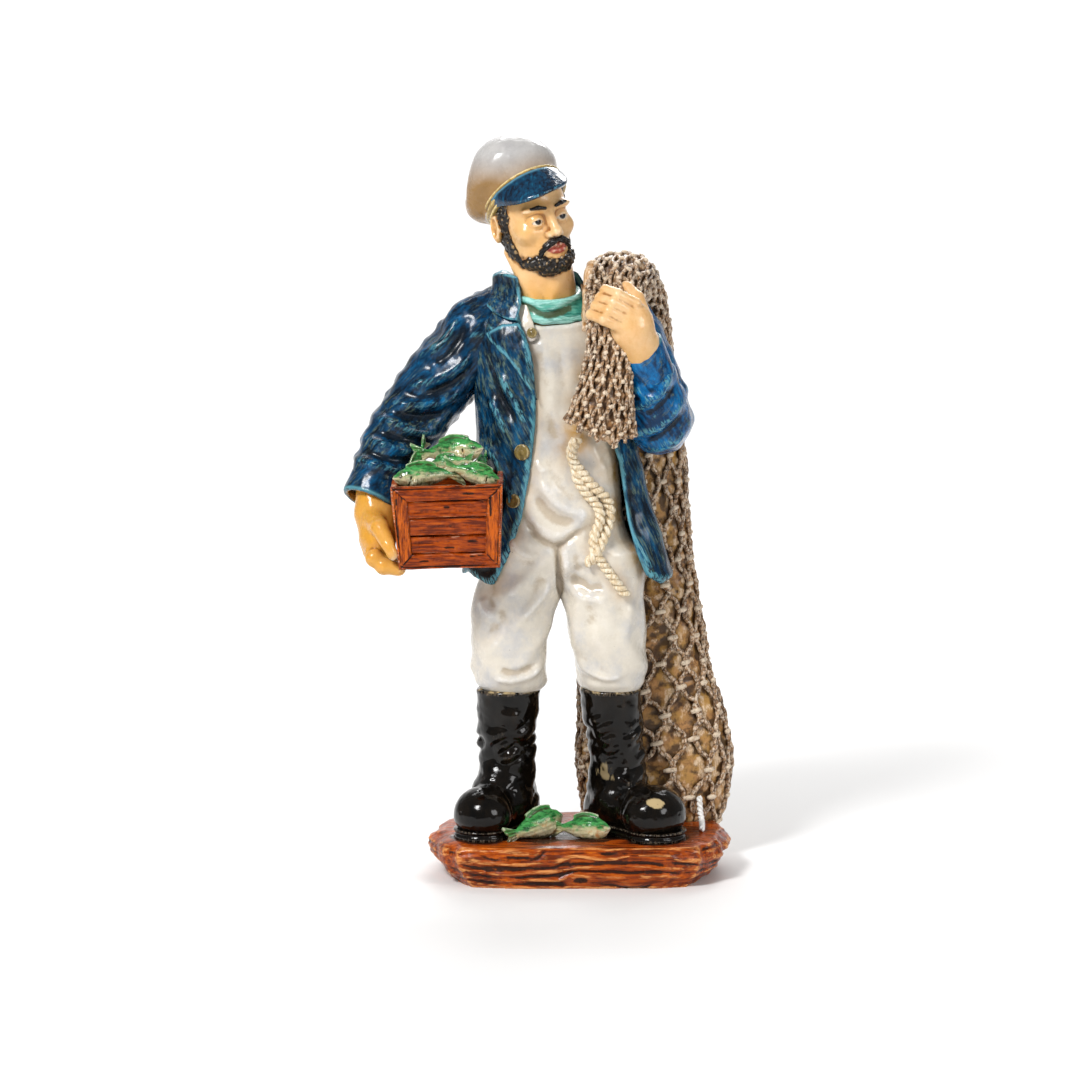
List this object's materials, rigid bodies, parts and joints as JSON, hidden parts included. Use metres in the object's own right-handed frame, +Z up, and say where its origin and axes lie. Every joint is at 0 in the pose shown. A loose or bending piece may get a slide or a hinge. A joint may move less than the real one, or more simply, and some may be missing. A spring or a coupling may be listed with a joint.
{
  "type": "fisherman figurine",
  "caption": "Painted cast figurine of a standing fisherman with a crate of fish, a net over the shoulder and a hewn timber plinth; free-standing ornament.",
  "frame": {"origin": "centre of the plinth's underside, on the surface it stands on", "axes": "+Z up, -Y the way the figure's front faces, +X towards the figure's left hand"},
  "size_m": [0.133, 0.0699, 0.2508],
  "materials": {
    "timber_paint": "cast resin painted as red-brown timber, dark wash in the grain, varnished",
    "boot_black": "cast resin painted gloss black, scuffed and varnished",
    "dungaree_white": "cast resin painted ivory white, brown wash in the creases, varnished",
    "brass_paint": "cast resin painted aged brass",
    "shirt_teal": "cast resin painted teal with paler brush streaks",
    "coat_blue": "cast resin painted navy blue, dry-brushed paler blue and grey-green, varnished",
    "net_brown": "cast resin painted tan and brown, cords dry-brushed pale",
    "skin_paint": "cast resin painted flesh with an ochre shade, varnished",
    "hair_black": "cast resin painted black, curls dry-brushed cream",
    "eye_paint": "cast resin painted white with a dark pupil",
    "cap_white": "cast resin painted off-white with a tan shade, varnished",
    "cap_gold": "cast resin painted dull gold",
    "visor_blue": "cast resin painted dark blue with brush streaks, varnished",
    "crate_orange": "cast resin painted as orange-brown boards, dark grain, pale dry-brushed edges",
    "fish_green": "cast resin painted green over cream, varnished",
    "cord_white": "cast resin painted white",
    "rope_cream": "cast resin painted cream, brown wash between the strands"
  },
  "bodies": {
    "root": {"base": "timber_paint", "right_boot_sole": "boot_black", "left_boot_sole": "boot_black", "right_boot": "boot_black", "left_boot": "boot_black", "right_trouser_leg": "dungaree_white", "left_trouser_leg": "dungaree_white", "dungarees_body": "dungaree_white", "right_strap": "dungaree_white", "left_strap": "dungaree_white", "strap_button": "brass_paint", "shirt": "shirt_teal", "coat_body": "coat_blue", "coat_collar": "coat_blue", "right_lapel": "coat_blue", "left_lapel": "net_brown", "coat_buttons": "brass_paint", "right_sleeve": "coat_blue", "left_sleeve": "coat_blue", "right_cuff": "coat_blue", "left_cuff": "coat_blue", "right_hand": "skin_paint", "left_hand": "skin_paint", "head": "skin_paint", "beard": "hair_black", "moustache": "hair_black", "eyebrows": "hair_black", "eyes": "eye_paint", "hair": "hair_black", "cap_crown": "cap_white", "cap_band": "cap_gold", "cap_visor": "visor_blue", "crate_front_frame": "crate_orange", "crate_front_planks": "crate_orange", "crate_left_side": "crate_orange", "crate_right_side": "crate_orange", "crate_back": "crate_orange", "crate_floor": "crate_orange", "crate_fish_1": "fish_green", "crate_fish_2": "fish_green", "crate_fish_3": "fish_green", "crate_fish_4": "fish_green", "crate_fish_5": "fish_green", "crate_fish_6": "fish_green", "plinth_fish_right": "fish_green", "plinth_fish_left": "fish_green", "net_front": "net_brown", "net_shoulder": "net_brown", "net_bag": "net_brown", "net_cord_end": "cord_white", "rope": "rope_cream"}
  },
  "joints": []
}
